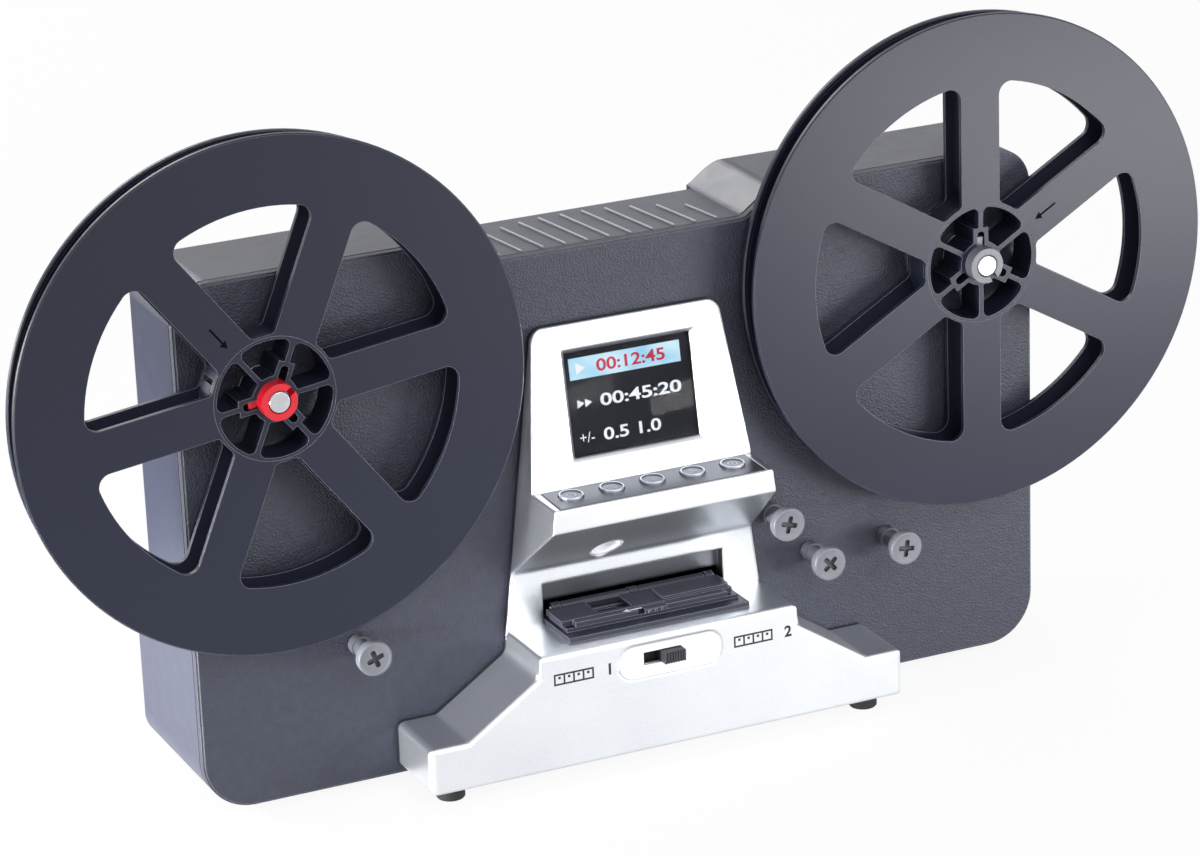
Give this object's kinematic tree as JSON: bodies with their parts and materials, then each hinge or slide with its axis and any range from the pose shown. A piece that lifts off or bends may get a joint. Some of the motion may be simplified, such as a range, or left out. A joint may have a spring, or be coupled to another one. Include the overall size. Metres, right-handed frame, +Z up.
{
  "type": "film scanner",
  "caption": "Tabletop reel film scanner: dark case with two spoked reels, guide rollers and a silver console with a screen, push buttons, hinged film gate and format switch.",
  "frame": {"origin": "middle of the footprint box, on the plane under the rubber feet", "axes": "+X to the right seen from the front, +Y to the back, +Z up"},
  "size_m": [0.4422, 0.0984, 0.2436],
  "materials": {
    "case": "satin",
    "cover": "fine grain",
    "silver": "silver paint",
    "white_plate": "satin",
    "dark_part": "satin",
    "clear": "clear",
    "screen": "lit panel",
    "key_panel": "brushed",
    "board": "coated board",
    "white_part": "matt",
    "drive_unit": "satin",
    "gate": "satin",
    "steel": "polished",
    "guide_head": "satin",
    "roller": "satin",
    "belt": "matt",
    "screw": "plated",
    "foot": "matt",
    "red_adapter": "gloss",
    "grey_adapter": "satin",
    "reel": "satin",
    "wheel": "satin",
    "key": "brushed"
  },
  "bodies": {
    "frame": {"rear_case": "case", "front_cover": "cover", "console_cover": "silver", "switch_plate": "white_plate", "switch_body": "dark_part", "screen_window": "clear", "lcd_module": "screen", "button_panel": "key_panel", "button_board": "board", "main_board": "board", "camera_board": "board", "camera_lens": "dark_part", "lens_shade": "white_part", "light_box": "white_part", "claw_drive": "drive_unit", "gate_base": "gate", "gate_hinge_pin": "steel", "spindle_bushes": "dark_part", "guide_screws": "guide_head", "takeup_motor": "drive_unit", "drive_belt": "belt", "case_screws": "screw", "console_screws": "screw", "rubber_feet": "foot", "usb_socket": "steel", "card_slot": "steel"},
    "takeup_reel": {"takeup_spindle": "steel", "takeup_adapter": "red_adapter", "takeup_hub": "reel", "takeup_flange_front": "reel", "takeup_flange_back": "reel", "takeup_pulley": "wheel"},
    "supply_reel": {"supply_spindle": "steel", "supply_adapter": "grey_adapter", "supply_hub": "reel", "supply_flange_front": "reel", "supply_flange_back": "reel"},
    "motor_pulley": {"motor_pulley": "wheel"},
    "guide_roller_1": {"guide_roller_1": "roller"},
    "guide_roller_2": {"guide_roller_2": "roller"},
    "guide_roller_3": {"guide_roller_3": "roller"},
    "guide_roller_4": {"guide_roller_4": "roller"},
    "button_power": {"button_power": "key"},
    "button_menu": {"button_menu": "key"},
    "button_left": {"button_left": "key"},
    "button_right": {"button_right": "key"},
    "button_ok": {"button_ok": "key"},
    "switch_knob": {"switch_knob": "dark_part"},
    "gate_cover": {"gate_cover": "gate"},
    "gate_latch": {"gate_latch": "gate"},
    "film_claw": {"film_claw": "steel"}
  },
  "joints": [
    {"name": "takeup_spin", "type": "hinge", "parent": "frame", "child": "takeup_reel", "pos_m": [-0.1321, -0.02335, 0.1516], "axis": [0, 1, 0], "continuous": true},
    {"name": "supply_spin", "type": "hinge", "parent": "frame", "child": "supply_reel", "pos_m": [0.1321, -0.02335, 0.1546], "axis": [0, 1, 0], "continuous": true},
    {"name": "motor_spin", "type": "hinge", "parent": "frame", "child": "motor_pulley", "pos_m": [-0.0821, 0.00255, 0.1256], "axis": [0, 1, 0], "continuous": true},
    {"name": "roller_1_spin", "type": "hinge", "parent": "frame", "child": "guide_roller_1", "pos_m": [0.0541, -0.02335, 0.072], "axis": [0, 1, 0], "continuous": true},
    {"name": "roller_2_spin", "type": "hinge", "parent": "frame", "child": "guide_roller_2", "pos_m": [0.0699, -0.02335, 0.0542], "axis": [0, 1, 0], "continuous": true},
    {"name": "roller_3_spin", "type": "hinge", "parent": "frame", "child": "guide_roller_3", "pos_m": [0.1004, -0.02335, 0.0542], "axis": [0, 1, 0], "continuous": true},
    {"name": "roller_4_spin", "type": "hinge", "parent": "frame", "child": "guide_roller_4", "pos_m": [-0.1028, -0.02335, 0.054], "axis": [0, 1, 0], "continuous": true},
    {"name": "power_press", "type": "slide", "parent": "frame", "child": "button_power", "axis": [0, 0.0337, -0.9994], "range_m": [0, 0.0005], "stiffness_N_per_m": 1500},
    {"name": "menu_press", "type": "slide", "parent": "frame", "child": "button_menu", "axis": [0, 0.0337, -0.9994], "range_m": [0, 0.0005], "stiffness_N_per_m": 1500},
    {"name": "left_press", "type": "slide", "parent": "frame", "child": "button_left", "axis": [0, 0.0337, -0.9994], "range_m": [0, 0.0005], "stiffness_N_per_m": 1500},
    {"name": "right_press", "type": "slide", "parent": "frame", "child": "button_right", "axis": [0, 0.0337, -0.9994], "range_m": [0, 0.0005], "stiffness_N_per_m": 1500},
    {"name": "ok_press", "type": "slide", "parent": "frame", "child": "button_ok", "axis": [0, 0.0337, -0.9994], "range_m": [0, 0.0005], "stiffness_N_per_m": 1500},
    {"name": "format_slide", "type": "slide", "parent": "frame", "child": "switch_knob", "axis": [1, 0, 0], "range_m": [-0.0064, 0]},
    {"name": "gate_hinge", "type": "hinge", "parent": "frame", "child": "gate_cover", "pos_m": [0, -0.01495, 0.0524], "axis": [-1, 0, 0], "range_deg": [0, 60]},
    {"name": "latch_slide", "type": "slide", "parent": "gate_cover", "child": "gate_latch", "axis": [-1, 0, 0], "range_m": [0, 0.002]},
    {"name": "claw_slide", "type": "slide", "parent": "frame", "child": "film_claw", "axis": [-1, 0, 0], "range_m": [0, 0.0042]}
  ],
  "couplings": [
    {"joint": "motor_spin", "follows": "takeup_spin", "ratio": 3.1429}
  ]
}
